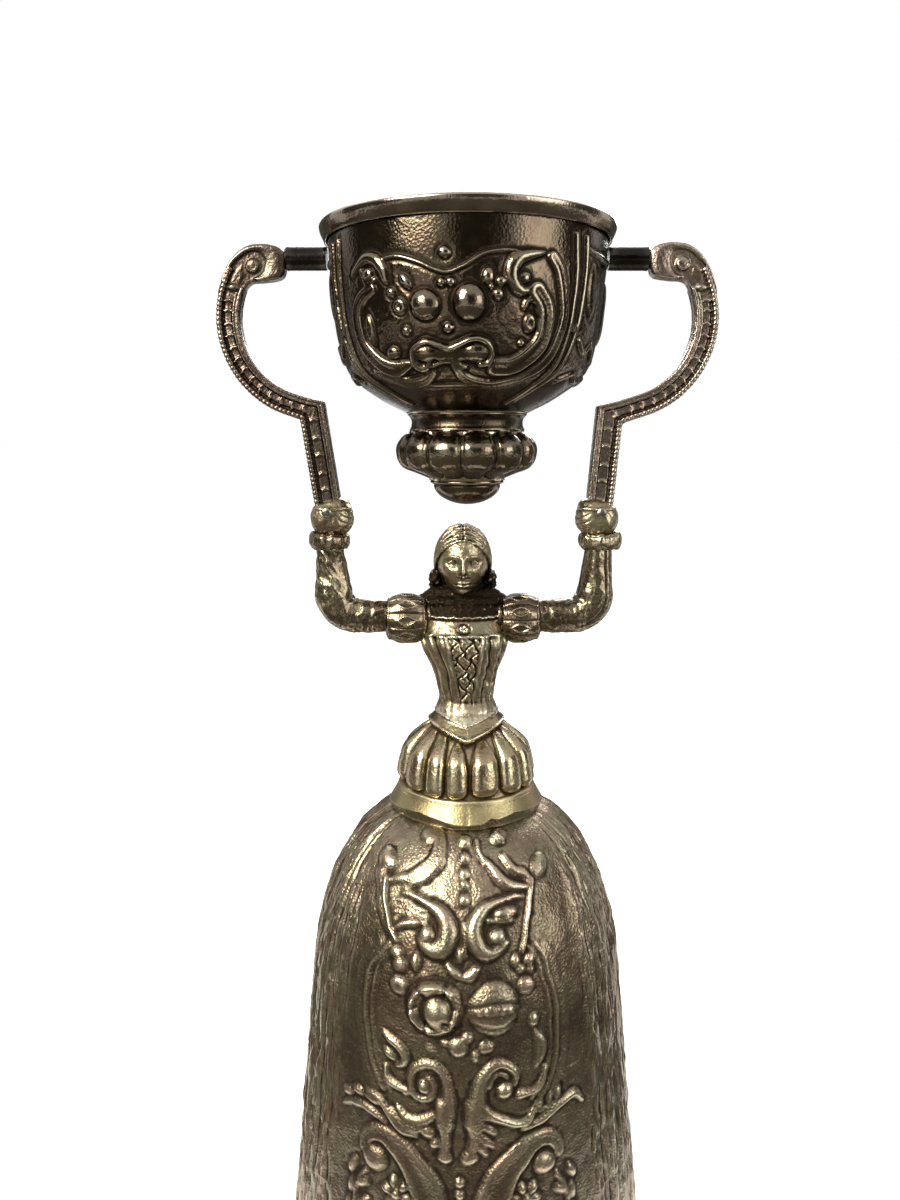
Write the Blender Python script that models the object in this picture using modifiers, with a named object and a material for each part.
"""A wager cup in tarnished silver. A standing lady's bell skirt is one cup, and she holds up a small cup
that swivels between two scroll brackets.

Run it with blender --background --python part.py, or from Blender's text editor. Lengths are in metres. The
origin is the centre of the plane that the hem stands on, +Z is up and -Y is the front. Left and right are
the viewer's, from the front.
"""

import math

import bmesh
import bpy
import numpy as np
from mathutils import Matrix, Vector

# Fits
SEAT_GAP = 0.0003  # left between two pieces that are soldered, riveted or screwed together
PIVOT_CLEARANCE = 0.0003  # on the radius, between a pivot pin and the tube that turns on it

# Skirt, a raised sheet with a flat crown
SKIRT_WALL = 0.0012
SKIRT_HEIGHT = 0.1193
HEM_RADIUS = 0.0413
HIP_RADIUS = 0.0330
HIP_DROP = 0.0328  # from the crown down to where the side becomes straight
CROWN_RADIUS = 0.0128
SHOULDER_FULLNESS = 2.1  # 2 is an ellipse, and more is squarer

# Hem rim, a ring under and around the skirt's lower edge
HEM_LEDGE = 0.0012
HEM_RIM_HEIGHT = 0.0050
HEM_BEAD = 0.0015
HEM_FOOT_HEIGHT = 0.0010
HEM_FOOT_REACH = 0.0012  # from the hem out to the foot's outer edge

# Waist band, a ring on the skirt's crown
BAND_HEIGHT = 0.0038
BAND_TOP_RADIUS = 0.0150
BAND_LIP_RADIUS = 0.0165
BAND_LIP_HEIGHT = 0.0007
BAND_LIP_EDGE = 0.0003
BAND_SIDE_DROP = 0.0013  # the side is nearly upright down to here
BAND_BORE_RADIUS = 0.0130

# Peplum, the fluted overskirt
PEPLUM_HEIGHT = 0.0162
PEPLUM_EDGE_RADIUS = 0.0150
PEPLUM_SIDE_RADIUS = 0.0139
PEPLUM_SIDE_DROP = 0.0100
PEPLUM_TURN_RADIUS = 0.0122
PEPLUM_TURN_DROP = 0.0062
PEPLUM_TOP_RADIUS = 0.0064
PEPLUM_WALL = 0.0016
PEPLUM_FLUTES = 16
PEPLUM_FLUTE_DEPTH = 0.0009
PEPLUM_FLUTE_RUN = 0.0054  # the flutes deepen over this height, from the top down

# Bodice, from the waist to the shoulders
BODICE_HEIGHT = 0.0231
BODICE_BASE_WIDTH = 0.0126
BODICE_BASE_DEPTH = 0.0112
WAIST_RISE = 0.0035
WAIST_WIDTH = 0.0122
WAIST_DEPTH = 0.0102
RIB_RISE = 0.0100
RIB_WIDTH = 0.0158
RIB_DEPTH = 0.0126
BUST_RISE = 0.0140
BUST_WIDTH = 0.0166
BUST_DEPTH = 0.0138
BUST_FORWARD = 0.0008
NECKLINE_RISE = 0.0190
NECKLINE_WIDTH = 0.0152
NECKLINE_DEPTH = 0.0106
SHOULDER_RISE = 0.0217
SHOULDER_WIDTH = 0.0142
SHOULDER_DEPTH = 0.0074
NECK_BASE_WIDTH = 0.0078
NECK_BASE_DEPTH = 0.0064
SHOULDER_SHIFT = -0.0008  # the shoulders and head stand a little to the viewer's left of the waist

# Head with its hair and neck
NECK_RADIUS = 0.0030
CHIN_RISE = 0.0002  # above the neck's foot
HEAD_HEIGHT = 0.0157
HEAD_WIDTH = 0.0128
HEAD_DEPTH = 0.0132
CHIN_WIDTH_SHARE = 0.60
HAIR_WIDTH = 0.0150
HAIR_HEIGHT = 0.0090
HAIR_DEPTH = 0.0066
HAIR_BACK = 0.0026
NOSE_PROJECTION = 0.0009
NOSE_WIDTH = 0.0026
NOSE_LENGTH = 0.0034
NOSE_DROP = 0.0012  # below the head's middle

# Arms, held out level and bent up at the elbow
ARM_RISE = 0.0198  # above the bodice's lower face
ARM_RADIUS = 0.0031
FOREARM_RADIUS = 0.0034
WRIST_RADIUS = 0.0030
ELBOW_BEND = 0.0048
FOREARM_HEIGHT = 0.0174  # from the arm's level axis up to the hand
GRIP_REACH = {"left": 0.0279, "right": 0.0269}  # from the middle of the figure to the forearm's axis

# Puffed sleeves, rings around the upper arms
SLEEVE_LENGTH = 0.0083
SLEEVE_RADIUS = 0.0053
SLEEVE_FULL_LENGTH = 0.0037
SLEEVE_END_RADIUS = 0.0042
SLEEVE_PUFFS = 8
SLEEVE_PUFF_DEPTH = 0.0004
SLEEVE_DROP = 0.0010  # the puff hangs a little below the arm's axis

# Cuffs and hands
CUFF_HEIGHT = 0.0032
CUFF_RADIUS = 0.0044
CUFF_EDGE_ANGLE = math.radians(14)
HAND_WIDTH = 0.0088
HAND_DEPTH = 0.0084
HAND_HEIGHT = 0.0064
HAND_ROUNDING = 0.0020

# Scroll brackets, cast bars of one depth
BRACKET_RISE = 0.0475  # from the hands' tops up to the pivot's axis
SHAFT_WIDTH = 0.0053
SCROLL_WIDTH = 0.0046
BRACKET_DEPTH = 0.0042
SCROLL_RADIUS = 0.0172
SCROLL_SET_BACK = 0.0101  # from the volute's middle in to the scroll's centre
SCROLL_DROP = 0.0118  # from the pivot's axis down to the scroll's centre
SCROLL_TOP_ANGLE = math.radians(50)
SCROLL_FOOT_ANGLE = math.radians(-72)
VOLUTE_RADIUS = 0.0034
VOLUTE_DROP = 0.0004  # from the pivot's axis down to the volute's middle
VOLUTE_FILLET = 0.0002
ELBOW_REACH = {"left": 0.0312, "right": 0.0287}
TANG_LENGTH = 0.0046
RIVET_RADIUS = 0.0006
RIVET_HEAD_RADIUS = 0.0011
RIVET_HEAD_HEIGHT = 0.0006
RIVET_DROP = 0.0021  # below the hand's top

# Pivots
PIN_RADIUS = 0.00125
PIN_IN_BRACKET = 0.0044
PIN_IN_TUBE = 0.0062
PIN_BARE = 0.0010  # the stretch that shows between the tube and the volute
TUBE_LENGTH = 0.0082
TUBE_RADIUS = 0.0023

# Small cup
LIP_RISE = 0.0056  # from the pivot's axis up to the top of the rim
BOWL_WALL = 0.0010
BOWL_LIP_RADIUS = 0.0275
BOWL_SIDE_RADIUS = 0.0269
BOWL_SIDE_DROP = 0.0130
BOWL_BELLY_RADIUS = 0.0256
BOWL_BELLY_DROP = 0.0216
BOWL_TURN_RADIUS = 0.0232
BOWL_TURN_DROP = 0.0276
BOWL_SLOPE_RADIUS = 0.0178
BOWL_SLOPE_DROP = 0.0318
BOWL_BASE_RADIUS = 0.0122
BOWL_DEPTH = 0.0347
RIM_CAP = 0.0006
RIM_HEIGHT = 0.0030
RIM_TOP_OVERHANG = 0.0016  # beyond the bowl's lip
RIM_FOOT_OVERHANG = 0.0006  # beyond the rim's seat on the bowl
COLLAR_RADIUS = 0.0116
COLLAR_HEIGHT = 0.0027
COLLAR_EDGE = 0.0004
KNOP_RADIUS = 0.0145
KNOP_HEIGHT = 0.0100
KNOP_FULL_DROP = 0.0042
KNOP_TOP_RADIUS = 0.0106
KNOP_SHOULDER_RADIUS = 0.0135
KNOP_SHOULDER_DROP = 0.0017
KNOP_BELLY_RADIUS = 0.0131
KNOP_BELLY_DROP = 0.0076
KNOP_FOOT_RADIUS = 0.0078
KNOP_LOBES = 12
KNOP_LOBE_DEPTH = 0.0012
FOOT_RADIUS = 0.0075
FOOT_HEIGHT = 0.0046
FOOT_LIP_HEIGHT = 0.0007
FOOT_LIP_STEP = 0.0007

# Tie stud, washer and nut that hold the figure to the skirt
STUD_RADIUS = 0.0016
STUD_IN_BODICE = 0.0060
STUD_BELOW_NUT = 0.0015
WASHER_RADIUS = 0.0045
WASHER_HEIGHT = 0.0008
NUT_WIDTH = 0.0062
NUT_HEIGHT = 0.0026

# Lobes of the peplum, the sleeves and the knop
LOBE_FULLNESS = 0.7  # 1 is a plain arch between two grooves, and less is flatter with narrower grooves

# Steps around a full turn, for large, middling and small round pieces
LARGE_STEPS = 36
MIDDLE_STEPS = 24
SMALL_STEPS = 16

# Levels that several pieces share
SKIRT_BASE = HEM_LEDGE + SEAT_GAP
CROWN_LEVEL = SKIRT_BASE + SKIRT_HEIGHT
BAND_TOP = CROWN_LEVEL + BAND_HEIGHT
PEPLUM_BASE = BAND_TOP + SEAT_GAP
PEPLUM_TOP = PEPLUM_BASE + PEPLUM_HEIGHT
BODICE_BASE = PEPLUM_TOP + SEAT_GAP
BODICE_TOP = BODICE_BASE + BODICE_HEIGHT
ARM_LEVEL = BODICE_BASE + ARM_RISE
HAND_BASE = ARM_LEVEL + FOREARM_HEIGHT + SEAT_GAP
HAND_TOP = HAND_BASE + HAND_HEIGHT
PIVOT_LEVEL = HAND_TOP + BRACKET_RISE
RIM_TOP = PIVOT_LEVEL + LIP_RISE
BOWL_LIP = RIM_TOP - RIM_CAP - SEAT_GAP
BOWL_BASE = BOWL_LIP - BOWL_DEPTH
COLLAR_BASE = BOWL_BASE - SEAT_GAP - COLLAR_HEIGHT
KNOP_TOP = COLLAR_BASE - SEAT_GAP
KNOP_BASE = KNOP_TOP - KNOP_HEIGHT

SIDES = {"left": -1, "right": 1}


def clear_scene():
    for obj in list(bpy.data.objects):
        bpy.data.objects.remove(obj, do_unlink=True)


def new_collection(name, hidden=False):
    collection = bpy.data.collections.new(name)
    collection.hide_render = hidden
    bpy.context.scene.collection.children.link(collection)
    return collection


def metal(name, colour, roughness):
    """A tarnished metal of one mean colour."""
    material = bpy.data.materials.new(name)
    material.use_nodes = True
    shader = material.node_tree.nodes["Principled BSDF"]
    shader.inputs["Base Color"].default_value = (*colour, 1.0)
    shader.inputs["Metallic"].default_value = 1.0
    shader.inputs["Roughness"].default_value = roughness
    return material


def place(name, mesh, material, collection):
    """A new object for the mesh, with its material, in the collection."""
    obj = bpy.data.objects.new(name, mesh)
    collection.objects.link(obj)
    if material is not None:
        mesh.materials.append(material)
    return obj


def smooth_points(points, steps):
    """Points on a Catmull-Rom curve through the given points, with this many steps from one to the next."""
    given = [np.array(point, float) for point in points]
    ends = [2 * given[0] - given[1]] + given + [2 * given[-1] - given[-2]]
    found = []
    for before, start, end, after in zip(ends, ends[1:], ends[2:], ends[3:]):
        for step in range(steps):
            t = step / steps
            bend = 2 * before - 5 * start + 4 * end - after
            twist = 3 * start - before - 3 * end + after
            found.append(0.5 * (2 * start + (end - before) * t + bend * t**2 + twist * t**3))
    found.append(given[-1])
    return [tuple(float(value) for value in point) for point in found]


def inset(outline, distance):
    """The open outline moved to the right of its direction, which is inward on the way down."""
    points = np.array(outline)
    ahead = np.vstack([points[1:], points[-1:]])
    behind = np.vstack([points[:1], points[:-1]])
    along = ahead - behind
    along /= np.linalg.norm(along, axis=1)[:, None]
    moved = points + distance * np.column_stack([along[:, 1], -along[:, 0]])
    return [tuple(float(value) for value in point) for point in moved]


def turned(name, outline, steps, material, closed=True):
    """A turned piece. Its outline of (radius, height) points runs down the outer side."""
    mesh = bpy.data.meshes.new(name)
    edges = [(index, index + 1) for index in range(len(outline) - 1)]
    if closed:
        edges.append((len(outline) - 1, 0))
    mesh.from_pydata([(radius, 0.0, height) for radius, height in outline], edges, [])
    obj = place(name, mesh, material, cup)
    screw = obj.modifiers.new("Turn", "SCREW")
    screw.axis = "Z"
    screw.angle = math.tau
    screw.steps = steps
    screw.render_steps = steps
    screw.use_merge_vertices = True
    screw.merge_threshold = 0.00001
    screw.use_smooth_shade = True
    return obj


def apply_modifiers(obj):
    """Makes the evaluated shape the object's own mesh."""
    graph = bpy.context.evaluated_depsgraph_get()
    mesh = bpy.data.meshes.new_from_object(obj.evaluated_get(graph))
    obj.modifiers.clear()
    obj.data = mesh


def smooth_shade(obj, sharp_angle=math.radians(35)):
    obj.data.shade_smooth()
    obj.data.set_sharp_from_angle(angle=sharp_angle)


def lobe_shape(angle, count):
    """0 in the groove between two lobes and 1 on a lobe's crest."""
    return abs(math.sin(count * angle / 2)) ** LOBE_FULLNESS


def groove(obj, count, depth, weight, outer=None):
    """Sinks grooves into a turned mesh, as deep as weight, from 0 to 1, gives at each height."""
    for vertex in obj.data.vertices:
        radius = math.hypot(vertex.co.x, vertex.co.y)
        if radius < 0.0001 or (outer and not outer(radius, vertex.co.z)):
            continue
        angle = math.atan2(vertex.co.y, vertex.co.x)
        sunk = depth * weight(vertex.co.z) * (1 - lobe_shape(angle, count))
        vertex.co.x *= (radius - sunk) / radius
        vertex.co.y *= (radius - sunk) / radius


def box_mesh(name, size):
    mesh = bpy.data.meshes.new(name)
    shape = bmesh.new()
    bmesh.ops.create_cube(shape, size=1.0)
    bmesh.ops.scale(shape, vec=size, verts=shape.verts)
    shape.to_mesh(mesh)
    shape.free()
    return mesh


def rod_mesh(name, radius, length, steps, axis="Z"):
    """A capped cylinder about the origin, along the axis."""
    mesh = bpy.data.meshes.new(name)
    shape = bmesh.new()
    bmesh.ops.create_cone(
        shape, cap_ends=True, segments=steps, radius1=radius, radius2=radius, depth=length
    )
    turns = {"X": Matrix.Rotation(math.pi / 2, 3, "Y"), "Y": Matrix.Rotation(math.pi / 2, 3, "X")}
    if axis in turns:
        bmesh.ops.rotate(shape, matrix=turns[axis], verts=shape.verts)
    shape.to_mesh(mesh)
    shape.free()
    return mesh


def cut(obj, cutter):
    """Cuts the cutter's shape from the object, and hides the cutter."""
    cutter.hide_render = True
    cutter.display_type = "WIRE"
    modifier = obj.modifiers.new(cutter.name, "BOOLEAN")
    modifier.operation = "DIFFERENCE"
    modifier.solver = "EXACT"
    modifier.object = cutter


def skirt_outline():
    """The skirt's outer side, from the crown's edge down to the hem."""
    side_height = SKIRT_HEIGHT - HIP_DROP
    slope = (HEM_RADIUS - HIP_RADIUS) / side_height
    points = []
    for turn in np.linspace(math.pi / 2, 0, 9):
        rise = HIP_DROP * math.sin(turn) ** (2 / SHOULDER_FULLNESS)
        reach = HIP_RADIUS - slope * rise - CROWN_RADIUS
        points.append((CROWN_RADIUS + reach * math.cos(turn), CROWN_LEVEL - HIP_DROP + rise))
    for share in np.linspace(0, 1, 5)[1:]:
        points.append((HIP_RADIUS + slope * side_height * share, SKIRT_BASE + side_height * (1 - share)))
    return points


def skirt_height(radius):
    """The height of the skirt's outer side at a radius."""
    radii, heights = zip(*skirt_outline())
    return float(np.interp(radius, radii, heights))


def skirt_radius(height):
    """The skirt's outer radius at a height."""
    radii, heights = zip(*reversed(skirt_outline()))
    return float(np.interp(height, heights, radii))


def make_skirt():
    hole = STUD_RADIUS + SEAT_GAP
    outer = [(hole, CROWN_LEVEL)] + skirt_outline()
    inner = inset(outer, SKIRT_WALL)
    inner[0] = (hole, CROWN_LEVEL - SKIRT_WALL)
    inner[-1] = (inner[-1][0], SKIRT_BASE)
    turned("skirt", outer + inner[::-1], LARGE_STEPS, dull_silver)


def make_hem_rim():
    seat = HEM_RADIUS + SEAT_GAP
    neck = skirt_radius(HEM_RIM_HEIGHT) + SEAT_GAP
    middle = (HEM_RIM_HEIGHT + HEM_FOOT_HEIGHT) / 2
    half = (HEM_RIM_HEIGHT - HEM_FOOT_HEIGHT) / 2
    bead = []
    for turn in np.linspace(0, math.pi, 7)[1:]:
        bead.append((seat + HEM_BEAD * math.sin(turn), middle + half * math.cos(turn)))
    foot_radius = seat + HEM_FOOT_REACH
    bead[-1] = (foot_radius, HEM_FOOT_HEIGHT)
    bore = HEM_RADIUS - SKIRT_WALL
    inner = [(foot_radius, 0.0), (bore, 0.0), (bore, HEM_LEDGE), (seat, HEM_LEDGE)]
    turned("hem_rim", [(neck, HEM_RIM_HEIGHT)] + bead + inner, LARGE_STEPS, dull_silver)


def make_waist_band():
    foot = BAND_LIP_RADIUS - BAND_LIP_EDGE
    lip_level = skirt_height(foot) + SEAT_GAP + BAND_LIP_HEIGHT
    outer = smooth_points(
        [
            (BAND_TOP_RADIUS, BAND_TOP),
            (BAND_TOP_RADIUS + BAND_LIP_EDGE, BAND_TOP - BAND_SIDE_DROP),
            (BAND_LIP_RADIUS, lip_level),
        ],
        3,
    )
    under = []
    for radius in np.linspace(foot, BAND_BORE_RADIUS, 4):
        under.append((float(radius), skirt_height(radius) + SEAT_GAP))
    turned("waist_band", outer + under + [(BAND_BORE_RADIUS, BAND_TOP)], LARGE_STEPS, gilt_silver)


def make_peplum():
    hole = STUD_RADIUS + SEAT_GAP
    side = smooth_points(
        [
            (PEPLUM_TOP_RADIUS, PEPLUM_TOP),
            (PEPLUM_TURN_RADIUS, PEPLUM_TOP - PEPLUM_TURN_DROP),
            (PEPLUM_SIDE_RADIUS, PEPLUM_TOP - PEPLUM_SIDE_DROP),
            (PEPLUM_EDGE_RADIUS, PEPLUM_BASE),
        ],
        2,
    )
    inner = inset([(hole, PEPLUM_TOP)] + side, PEPLUM_WALL + PEPLUM_FLUTE_DEPTH)
    inner = [(hole, inner[1][1])] + inner[1::2]
    inner[-1] = (inner[-1][0], PEPLUM_BASE)
    peplum = turned("peplum", [(hole, PEPLUM_TOP)] + side + inner[::-1], PEPLUM_FLUTES * 4, pale_silver)
    apply_modifiers(peplum)
    side_radii, side_heights = zip(*reversed(side))

    def on_outer_side(radius, height):
        return radius > float(np.interp(height, side_heights, side_radii)) - PEPLUM_WALL / 2

    def fade(height):
        return min(1.0, (PEPLUM_TOP - height) / PEPLUM_FLUTE_RUN)

    groove(peplum, PEPLUM_FLUTES, PEPLUM_FLUTE_DEPTH, fade, on_outer_side)
    smooth_shade(peplum)


def lofted(name, stations, sides, material):
    """A closed form through oval stations, from the lowest up: height, width, depth, X shift and Y shift."""
    points = []
    for height, width, depth, across, forward in stations:
        for turn in np.linspace(0, math.tau, sides, endpoint=False):
            points.append((across + width / 2 * math.cos(turn), forward + depth / 2 * math.sin(turn), height))
    faces = [tuple(reversed(range(sides))), tuple(range(len(points) - sides, len(points)))]
    for row in range(len(stations) - 1):
        for column in range(sides):
            here = row * sides + column
            beside = row * sides + (column + 1) % sides
            faces.append((here, beside, beside + sides, here + sides))
    mesh = bpy.data.meshes.new(name)
    mesh.from_pydata(points, [], faces)
    return place(name, mesh, material, cup)


def bodice_stations():
    """The bodice's oval stations, from the waist up: height, width, depth, X shift and Y shift."""
    return smooth_points(
        [
            (BODICE_BASE, BODICE_BASE_WIDTH, BODICE_BASE_DEPTH, 0.0, 0.0),
            (BODICE_BASE + WAIST_RISE, WAIST_WIDTH, WAIST_DEPTH, 0.0, 0.0),
            (BODICE_BASE + RIB_RISE, RIB_WIDTH, RIB_DEPTH, SHOULDER_SHIFT / 4, -BUST_FORWARD / 2),
            (BODICE_BASE + BUST_RISE, BUST_WIDTH, BUST_DEPTH, SHOULDER_SHIFT / 2, -BUST_FORWARD),
            (BODICE_BASE + NECKLINE_RISE, NECKLINE_WIDTH, NECKLINE_DEPTH, SHOULDER_SHIFT, 0.0),
            (BODICE_BASE + SHOULDER_RISE, SHOULDER_WIDTH, SHOULDER_DEPTH, SHOULDER_SHIFT, 0.0),
            (BODICE_TOP, NECK_BASE_WIDTH, NECK_BASE_DEPTH, SHOULDER_SHIFT, 0.0),
        ],
        3,
    )


def make_bodice():
    bodice = lofted("bodice", bodice_stations(), 24, pale_silver)
    smooth_shade(bodice)
    depth = STUD_IN_BODICE + SEAT_GAP
    hole_mesh = rod_mesh("bodice_stud_hole", STUD_RADIUS + SEAT_GAP, 2 * depth, SMALL_STEPS)
    hole = place("bodice_stud_hole", hole_mesh, None, cutters)
    hole.location = (0, 0, BODICE_BASE)
    cut(bodice, hole)


def make_head():
    """The head, with the hair falling to the nape, and the neck under it."""
    neck_base = BODICE_TOP + SEAT_GAP
    chin = neck_base + CHIN_RISE
    shape = bmesh.new()
    bmesh.ops.create_uvsphere(shape, u_segments=20, v_segments=14, radius=1.0)
    for vertex in shape.verts:
        x, y, z = vertex.co
        across = x * HEAD_WIDTH / NOSE_WIDTH
        up = (z * HEAD_HEIGHT + 2 * NOSE_DROP) / NOSE_LENGTH
        nose = math.exp(-(across**2) - up**2) if y < 0 else 0.0
        taper = 1 - (1 - CHIN_WIDTH_SHARE) * max(0.0, -z) ** 1.5 if y < 0.2 else 1.0
        vertex.co = (
            x * HEAD_WIDTH / 2 * taper,
            y * HEAD_DEPTH / 2 * taper - nose * NOSE_PROJECTION,
            z * HEAD_HEIGHT / 2,
        )
    mesh = bpy.data.meshes.new("head")
    shape.to_mesh(mesh)
    shape.free()
    head = place("head", mesh, pale_silver, cup)
    head.location = (SHOULDER_SHIFT, 0, chin + HEAD_HEIGHT / 2)

    hair_mesh = bpy.data.meshes.new("nape_hair")
    shape = bmesh.new()
    bmesh.ops.create_uvsphere(shape, u_segments=16, v_segments=8, radius=0.5)
    bmesh.ops.scale(shape, vec=(HAIR_WIDTH, HAIR_DEPTH, HAIR_HEIGHT), verts=shape.verts)
    shape.to_mesh(hair_mesh)
    shape.free()
    hair = place("nape_hair", hair_mesh, None, cutters)
    hair.location = (SHOULDER_SHIFT, HAIR_BACK, neck_base + HAIR_HEIGHT / 2)

    neck_length = chin + HEAD_HEIGHT / 3 - neck_base
    neck = place("neck", rod_mesh("neck", NECK_RADIUS, neck_length, SMALL_STEPS), None, cutters)
    neck.location = (SHOULDER_SHIFT, 0, neck_base + neck_length / 2)
    for added in (hair, neck):
        added.hide_render = True
        added.display_type = "WIRE"
        join = head.modifiers.new(added.name, "BOOLEAN")
        join.operation = "UNION"
        join.solver = "EXACT"
        join.object = added


def shoulder_reach(side):
    """How far out the arm and sleeve meet the bodice, on the side given by its sign."""
    heights, widths, _, shifts, _ = zip(*bodice_stations())
    level = ARM_LEVEL - SLEEVE_END_RADIUS
    half_width = float(np.interp(level, heights, widths)) / 2
    return half_width + side * float(np.interp(level, heights, shifts)) + SEAT_GAP


def make_sleeve(name, side):
    """A puff around the upper arm, turned about the arm's axis and grooved between its slashes."""
    bore = ARM_RADIUS + SEAT_GAP
    half = SLEEVE_LENGTH / 2
    outer = smooth_points(
        [
            (SLEEVE_END_RADIUS, half),
            (SLEEVE_RADIUS, SLEEVE_FULL_LENGTH / 2),
            (SLEEVE_RADIUS, -SLEEVE_FULL_LENGTH / 2),
            (SLEEVE_END_RADIUS, -half),
        ],
        2,
    )
    sleeve = turned(name, outer + [(bore, -half), (bore, half)], SLEEVE_PUFFS * 3, pale_silver)
    apply_modifiers(sleeve)

    def fade(height):
        return max(0.0, 1 - (height / half) ** 2)

    def on_puff(radius, height):
        return radius > bore + SEAT_GAP

    groove(sleeve, SLEEVE_PUFFS, SLEEVE_PUFF_DEPTH, fade, on_puff)
    for vertex in sleeve.data.vertices:
        if on_puff(math.hypot(vertex.co.x, vertex.co.y), vertex.co.z):
            vertex.co.x += SLEEVE_DROP * fade(vertex.co.z)
    smooth_shade(sleeve)
    sleeve.rotation_euler = (0, math.pi / 2, 0)
    sleeve.location = (side * (shoulder_reach(side) + half), 0, ARM_LEVEL)


def make_arm(name, side, reach):
    """A level upper arm that bends up at the elbow and ends inside the cuff."""
    start = shoulder_reach(side)
    bend_x = reach - ELBOW_BEND
    route = [(start, ARM_LEVEL, ARM_RADIUS), (start + SLEEVE_LENGTH, ARM_LEVEL, ARM_RADIUS)]
    for turn in np.linspace(-math.pi / 2, 0, 7):
        share = 1 + math.sin(turn)
        radius = ARM_RADIUS + (FOREARM_RADIUS - ARM_RADIUS) * share
        route.append((bend_x + ELBOW_BEND * math.cos(turn), ARM_LEVEL + ELBOW_BEND * share, radius))
    cuff_base = HAND_BASE - SEAT_GAP - CUFF_HEIGHT
    route.append((reach, (ARM_LEVEL + ELBOW_BEND + cuff_base) / 2, FOREARM_RADIUS))
    route.append((reach, cuff_base - 2 * SEAT_GAP, WRIST_RADIUS))
    route.append((reach, HAND_BASE - SEAT_GAP, WRIST_RADIUS))
    curve = bpy.data.curves.new(name, "CURVE")
    curve.dimensions = "3D"
    curve.bevel_depth = 1.0
    curve.bevel_resolution = 4
    curve.use_fill_caps = True
    spline = curve.splines.new("POLY")
    spline.points.add(len(route) - 1)
    for point, (x, height, radius) in zip(spline.points, route):
        point.co = (side * x, 0, height, 1)
        point.radius = radius
    curve.materials.append(pale_silver)
    arm = bpy.data.objects.new(name, curve)
    cup.objects.link(arm)


def make_cuff(name, side, reach):
    bore = WRIST_RADIUS + SEAT_GAP
    base = HAND_BASE - SEAT_GAP - CUFF_HEIGHT
    outer = []
    for turn in np.linspace(CUFF_EDGE_ANGLE, math.pi - CUFF_EDGE_ANGLE, 6):
        swell = (CUFF_RADIUS - bore) * math.sin(turn)
        outer.append((bore + swell, base + CUFF_HEIGHT * (1 + math.cos(turn)) / 2))
    top = (bore, base + CUFF_HEIGHT)
    cuff = turned(name, [top] + outer + [(bore, base)], MIDDLE_STEPS, pale_silver)
    cuff.location = (side * reach, 0, 0)


def mesh_of_curve(obj):
    """Turns a curve object into a mesh object of the same name and place."""
    graph = bpy.context.evaluated_depsgraph_get()
    mesh = bpy.data.meshes.new_from_object(obj.evaluated_get(graph))
    shape = bmesh.new()
    shape.from_mesh(mesh)
    bmesh.ops.remove_doubles(shape, verts=shape.verts, dist=0.000001)
    shape.to_mesh(mesh)
    shape.free()
    name = obj.name
    matrix = obj.matrix_world.copy()
    bpy.data.objects.remove(obj, do_unlink=True)
    found = bpy.data.objects.new(name, mesh)
    found.matrix_world = matrix
    cup.objects.link(found)
    return found


def bracket_path(side_name):
    """The middle line of a bracket in its own plane, from the volute down to the tang: (reach, height)."""
    centre_x = VOLUTE_REACH - SCROLL_SET_BACK
    centre_z = PIVOT_LEVEL - SCROLL_DROP
    path = []
    for angle in np.linspace(SCROLL_TOP_ANGLE, SCROLL_FOOT_ANGLE, 15):
        turn = Vector((math.cos(angle), math.sin(angle)))
        path.append(Vector((centre_x, centre_z)) + SCROLL_RADIUS * turn)
    run = path[-1].x - ELBOW_REACH[side_name]
    along = Vector((-math.sin(SCROLL_FOOT_ANGLE), math.cos(SCROLL_FOOT_ANGLE)))
    elbow = Vector((ELBOW_REACH[side_name], path[-1].y - run * along.y / along.x))
    path.append(elbow)
    path.append(Vector((GRIP_REACH[side_name], HAND_TOP - TANG_LENGTH)))
    return path


def offset_path(path, distances):
    """The open path moved sideways by a distance at each point, with its corners mitred."""
    ways = [(after - before).normalized() for before, after in zip(path, path[1:])]
    moved = []
    for index, (point, distance) in enumerate(zip(path, distances)):
        before = ways[max(index - 1, 0)]
        after = ways[min(index, len(ways) - 1)]
        across = Vector((-before.y - after.y, before.x + after.x)).normalized()
        mitre = across.dot(Vector((-after.y, after.x)))
        moved.append(point + across * distance / mitre)
    return moved


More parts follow.
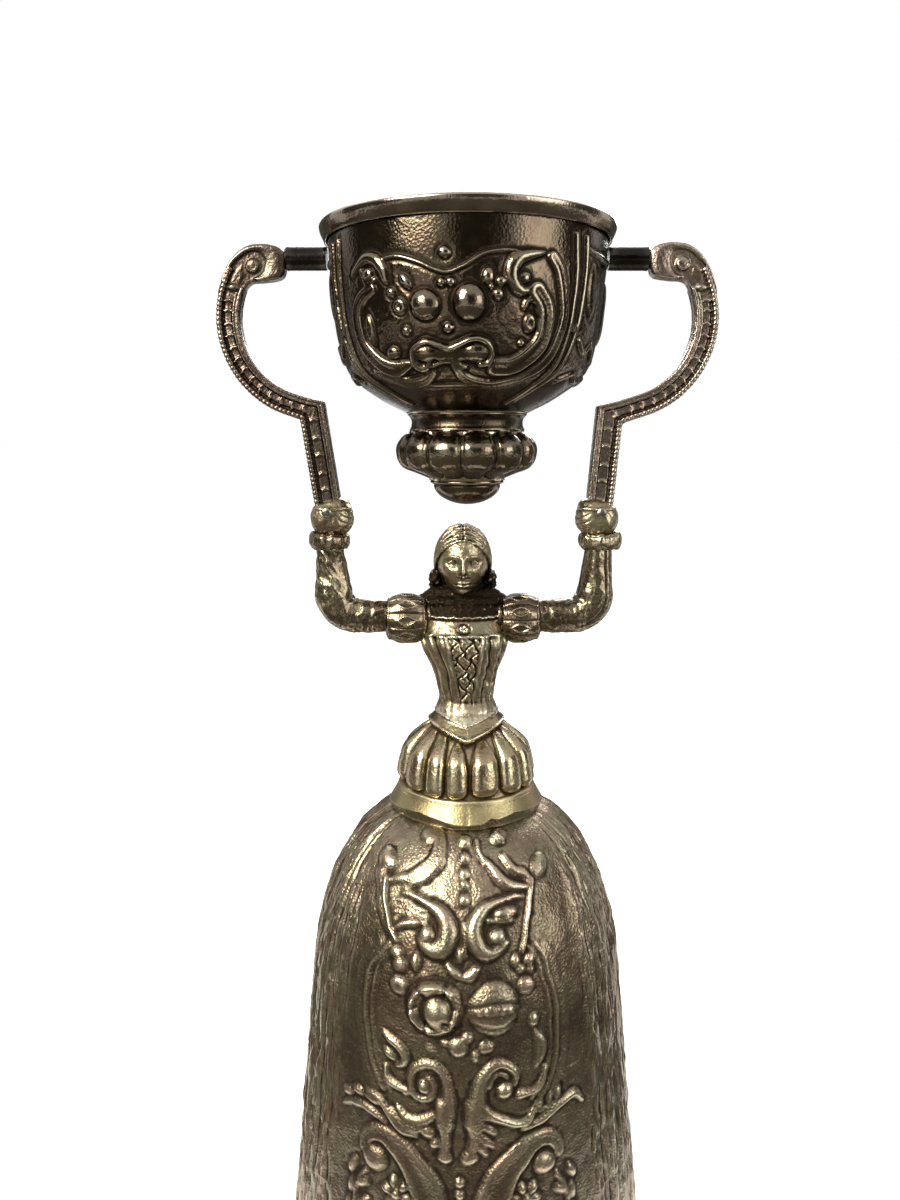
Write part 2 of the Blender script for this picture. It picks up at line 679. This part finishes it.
def make_bracket(name, side_name):
    """A scroll bar of one depth, with a round volute at the pivot and a tang in the hand."""
    side = SIDES[side_name]
    path = bracket_path(side_name)
    volute = Vector((VOLUTE_REACH, PIVOT_LEVEL - VOLUTE_DROP))
    halves = [SCROLL_WIDTH / 2] * (len(path) - 2) + [SHAFT_WIDTH / 2] * 2
    inner_edge = offset_path(path, [-half for half in halves])
    outer_edge = offset_path(path, halves)
    clear = VOLUTE_RADIUS + VOLUTE_FILLET
    outer_edge = [point for point in outer_edge if (point - volute).length > clear]
    inner_edge = [point for point in inner_edge if (point - volute).length > clear]
    start = math.atan2(outer_edge[0].y - volute.y, outer_edge[0].x - volute.x)
    end = math.atan2(inner_edge[0].y - volute.y, inner_edge[0].x - volute.x)
    head = []
    for angle in np.linspace(start, end + math.tau, 16)[1:-1]:
        head.append(volute + VOLUTE_RADIUS * Vector((math.cos(angle), math.sin(angle))))
    outline = outer_edge[::-1] + head + inner_edge
    curve = bpy.data.curves.new(name, "CURVE")
    curve.dimensions = "2D"
    curve.fill_mode = "BOTH"
    curve.extrude = BRACKET_DEPTH / 2
    spline = curve.splines.new("POLY")
    spline.points.add(len(outline) - 1)
    spline.use_cyclic_u = True
    for point, corner in zip(spline.points, outline):
        point.co = (side * corner.x, corner.y, 0, 1)
    flat = bpy.data.objects.new(name, curve)
    flat.rotation_euler = (math.pi / 2, 0, 0)
    cup.objects.link(flat)
    bpy.context.view_layer.update()
    bracket = mesh_of_curve(flat)
    bracket.data.materials.append(bronzed_silver)

    pin_depth = PIN_IN_BRACKET + SEAT_GAP
    pin_mesh = rod_mesh(name + "_pin_hole", PIN_RADIUS + SEAT_GAP, 2 * pin_depth, SMALL_STEPS, "X")
    pin_hole = place(name + "_pin_hole", pin_mesh, None, cutters)
    pin_hole.location = (side * (VOLUTE_REACH - VOLUTE_RADIUS), 0, PIVOT_LEVEL)
    cut(bracket, pin_hole)
    rivet_bore = RIVET_RADIUS + SEAT_GAP
    rivet_mesh = rod_mesh(name + "_rivet_hole", rivet_bore, 2 * HAND_DEPTH, SMALL_STEPS // 2, "Y")
    rivet_hole = place(name + "_rivet_hole", rivet_mesh, None, cutters)
    rivet_hole.location = (side * rivet_reach(side_name), 0, HAND_TOP - RIVET_DROP)
    cut(bracket, rivet_hole)
    return rivet_hole


def rivet_reach(side_name):
    """How far out the tang's middle line lies at the rivet's height."""
    elbow, foot = bracket_path(side_name)[-2:]
    height = HAND_TOP - RIVET_DROP
    return foot.x + (elbow.x - foot.x) * (height - foot.y) / (elbow.y - foot.y)


def make_hand(name, side_name, rivet_hole):
    """A closed fist with a socket for the bracket's tang."""
    side = SIDES[side_name]
    hand = place(name, box_mesh(name, (HAND_WIDTH, HAND_DEPTH, HAND_HEIGHT)), pale_silver, cup)
    hand.location = (side * GRIP_REACH[side_name], 0, HAND_BASE + HAND_HEIGHT / 2)
    rounding = hand.modifiers.new("Rounding", "BEVEL")
    rounding.width = HAND_ROUNDING
    rounding.segments = 3
    elbow, foot = bracket_path(side_name)[-2:]
    up = (elbow - foot).normalized()
    length = 2 * TANG_LENGTH
    size = (SHAFT_WIDTH + 2 * SEAT_GAP, BRACKET_DEPTH + 2 * SEAT_GAP, length)
    socket = place(name + "_socket", box_mesh("socket", size), None, cutters)
    middle = foot + up * (length / 2 - SEAT_GAP)
    socket.location = (side * middle.x, 0, middle.y)
    socket.rotation_euler = (0, side * math.atan2(up.x, up.y), 0)
    cut(hand, socket)
    cut(hand, rivet_hole)


def make_rivet(name, side_name):
    """A round-headed rivet through the hand and the tang, turned about its own axis and laid along Y."""
    half = HAND_DEPTH / 2 + SEAT_GAP
    head = []
    for turn in np.linspace(math.pi / 2, 0, 4):
        head.append((RIVET_HEAD_RADIUS * math.cos(turn), half + RIVET_HEAD_HEIGHT * math.sin(turn)))
    head[0] = (0, half + RIVET_HEAD_HEIGHT)
    upper = head + [(RIVET_RADIUS, half)]
    outline = upper + [(radius, -height) for radius, height in reversed(upper)]
    rivet = turned(name, outline, SMALL_STEPS // 2, pale_silver, closed=False)
    rivet.rotation_euler = (math.pi / 2, 0, 0)
    rivet.location = (SIDES[side_name] * rivet_reach(side_name), 0, HAND_TOP - RIVET_DROP)


def make_pivot(side_name):
    """The pin that is fixed in the volute, and the tube on the bowl that turns on it."""
    side = SIDES[side_name]
    start = TUBE_END - PIN_IN_TUBE
    end = TUBE_END + PIN_BARE + PIN_IN_BRACKET
    pin_name = side_name + "_pivot_pin"
    pin = place(pin_name, rod_mesh(pin_name, PIN_RADIUS, end - start, SMALL_STEPS, "X"), black_steel, cup)
    pin.location = (side * (start + end) / 2, 0, PIVOT_LEVEL)
    smooth_shade(pin)

    bore = PIN_RADIUS + PIVOT_CLEARANCE
    bore_depth = PIN_IN_TUBE + 2 * SEAT_GAP
    chamfer = SEAT_GAP
    outline = [
        (0, TUBE_END - bore_depth),
        (bore, TUBE_END - bore_depth),
        (bore, TUBE_END),
        (TUBE_RADIUS - chamfer, TUBE_END),
        (TUBE_RADIUS, TUBE_END - chamfer),
        (TUBE_RADIUS, TUBE_START),
        (0, TUBE_START),
    ]
    tube = turned(side_name + "_pivot_tube", outline, SMALL_STEPS, black_steel, closed=False)
    tube.rotation_euler = (0, side * math.pi / 2, 0)
    tube.location = (0, 0, PIVOT_LEVEL)


def bowl_outline():
    """The bowl's outer side, from the lip down to its flat base."""
    return smooth_points(
        [
            (BOWL_LIP_RADIUS, BOWL_LIP),
            (BOWL_SIDE_RADIUS, BOWL_LIP - BOWL_SIDE_DROP),
            (BOWL_BELLY_RADIUS, BOWL_LIP - BOWL_BELLY_DROP),
            (BOWL_TURN_RADIUS, BOWL_LIP - BOWL_TURN_DROP),
            (BOWL_SLOPE_RADIUS, BOWL_LIP - BOWL_SLOPE_DROP),
            (BOWL_BASE_RADIUS, BOWL_BASE),
        ],
        2,
    )


def bowl_reach(low, high):
    """The bowl's largest outer radius between two heights."""
    radii, heights = zip(*reversed(bowl_outline()))
    within = [radius for radius, height in zip(radii, heights) if low <= height <= high]
    return max(within + [float(np.interp(height, heights, radii)) for height in (low, high)])


def make_bowl():
    outer = bowl_outline() + [(0, BOWL_BASE)]
    inner = inset(outer, BOWL_WALL)
    inner[0] = (inner[0][0], BOWL_LIP)
    inner[-1] = (0, BOWL_BASE + BOWL_WALL)
    turned("bowl", inner[::-1] + outer, LARGE_STEPS, dark_silver, closed=False)


def make_bowl_rim():
    bore = BOWL_LIP_RADIUS - BOWL_WALL
    seat = bowl_reach(RIM_TOP - RIM_HEIGHT, BOWL_LIP) + SEAT_GAP
    edge = RIM_CAP / 2
    top_radius = BOWL_LIP_RADIUS + RIM_TOP_OVERHANG
    foot_radius = seat + RIM_FOOT_OVERHANG
    outline = [
        (bore + edge, RIM_TOP),
        (top_radius - edge, RIM_TOP),
        (top_radius, RIM_TOP - edge),
        (foot_radius + edge, RIM_TOP - RIM_HEIGHT + edge),
        (foot_radius, RIM_TOP - RIM_HEIGHT),
        (seat, RIM_TOP - RIM_HEIGHT),
        (seat, RIM_TOP - RIM_CAP),
        (bore, RIM_TOP - RIM_CAP),
        (bore, RIM_TOP - edge),
    ]
    turned("bowl_rim", outline, LARGE_STEPS, pale_silver)


def make_collar():
    top = COLLAR_BASE + COLLAR_HEIGHT
    outline = [
        (0, top),
        (COLLAR_RADIUS - COLLAR_EDGE, top),
        (COLLAR_RADIUS, top - COLLAR_EDGE),
        (COLLAR_RADIUS, COLLAR_BASE + COLLAR_EDGE),
        (COLLAR_RADIUS - COLLAR_EDGE, COLLAR_BASE),
        (0, COLLAR_BASE),
    ]
    turned("bowl_collar", outline, MIDDLE_STEPS, dark_silver, closed=False)


def make_knop():
    side = smooth_points(
        [
            (KNOP_TOP_RADIUS, KNOP_TOP),
            (KNOP_SHOULDER_RADIUS, KNOP_TOP - KNOP_SHOULDER_DROP),
            (KNOP_RADIUS, KNOP_TOP - KNOP_FULL_DROP),
            (KNOP_BELLY_RADIUS, KNOP_TOP - KNOP_BELLY_DROP),
            (KNOP_FOOT_RADIUS, KNOP_BASE),
        ],
        2,
    )
    outline = [(0, KNOP_TOP)] + side + [(0, KNOP_BASE)]
    knop = turned("knop", outline, KNOP_LOBES * 4, dark_silver, closed=False)
    apply_modifiers(knop)

    def fade(height):
        share = (KNOP_TOP - height) / KNOP_HEIGHT
        return max(0.0, math.sin(math.pi * share)) ** 0.5

    groove(knop, KNOP_LOBES, KNOP_LOBE_DEPTH, fade)
    smooth_shade(knop)


def make_foot():
    top = KNOP_BASE - SEAT_GAP
    base = top - FOOT_HEIGHT
    lip = top - FOOT_LIP_HEIGHT
    outline = [(0, top), (FOOT_RADIUS, top), (FOOT_RADIUS, lip)]
    for turn in np.linspace(0, math.pi / 2, 6)[:-1]:
        reach = (FOOT_RADIUS - FOOT_LIP_STEP) * math.cos(turn)
        outline.append((reach, lip - (lip - base) * math.sin(turn)))
    outline.append((0, base))
    turned("bowl_foot", outline, MIDDLE_STEPS, dark_silver, closed=False)


def make_tie():
    """The stud that ties the figure to the skirt, with its washer and nut under the crown."""
    under_crown = CROWN_LEVEL - SKIRT_WALL - SEAT_GAP
    washer_base = under_crown - WASHER_HEIGHT
    nut_top = washer_base - SEAT_GAP
    foot = nut_top - NUT_HEIGHT - STUD_BELOW_NUT
    length = BODICE_BASE + STUD_IN_BODICE - foot
    stud = place("tie_stud", rod_mesh("tie_stud", STUD_RADIUS, length, SMALL_STEPS), pale_silver, cup)
    stud.location = (0, 0, foot + length / 2)
    smooth_shade(stud)

    hole = STUD_RADIUS + SEAT_GAP
    rim = [(WASHER_RADIUS, under_crown), (WASHER_RADIUS, washer_base)]
    outline = rim + [(hole, washer_base), (hole, under_crown)]
    turned("tie_washer", outline, SMALL_STEPS, pale_silver)

    across_corners = NUT_WIDTH / math.cos(math.pi / 6) / 2
    nut = place("tie_nut", rod_mesh("tie_nut", across_corners, NUT_HEIGHT, 6), pale_silver, cup)
    nut.location = (0, 0, nut_top - NUT_HEIGHT / 2)
    hole_mesh = rod_mesh("tie_nut_hole", hole, 2 * NUT_HEIGHT, SMALL_STEPS)
    nut_hole = place("tie_nut_hole", hole_mesh, None, cutters)
    nut_hole.location = nut.location
    cut(nut, nut_hole)


# Reaches along X that the small cup, its tubes and the brackets share
TUBE_START = bowl_reach(PIVOT_LEVEL - TUBE_RADIUS, PIVOT_LEVEL + TUBE_RADIUS) + SEAT_GAP
TUBE_END = TUBE_START + TUBE_LENGTH
VOLUTE_REACH = TUBE_END + PIN_BARE + VOLUTE_RADIUS

clear_scene()
cup = new_collection("wager_cup")
cutters = new_collection("cutters", hidden=True)
dull_silver = metal("dull_silver", (0.40, 0.35, 0.27), 0.38)
pale_silver = metal("pale_silver", (0.52, 0.46, 0.34), 0.36)
gilt_silver = metal("gilt_silver", (0.60, 0.50, 0.30), 0.34)
dark_silver = metal("dark_silver", (0.24, 0.21, 0.16), 0.26)
bronzed_silver = metal("bronzed_silver", (0.42, 0.34, 0.27), 0.45)
black_steel = metal("black_steel", (0.07, 0.07, 0.065), 0.35)

make_skirt()
make_hem_rim()
make_waist_band()
make_peplum()
make_bodice()
make_head()
for side_name, side in SIDES.items():
    reach = GRIP_REACH[side_name]
    make_sleeve(side_name + "_sleeve", side)
    make_arm(side_name + "_arm", side, reach)
    make_cuff(side_name + "_cuff", side, reach)
    rivet_hole = make_bracket(side_name + "_bracket", side_name)
    make_hand(side_name + "_hand", side_name, rivet_hole)
    make_rivet(side_name + "_rivet", side_name)
    make_pivot(side_name)
make_bowl()
make_bowl_rim()
make_collar()
make_knop()
make_foot()
make_tie()
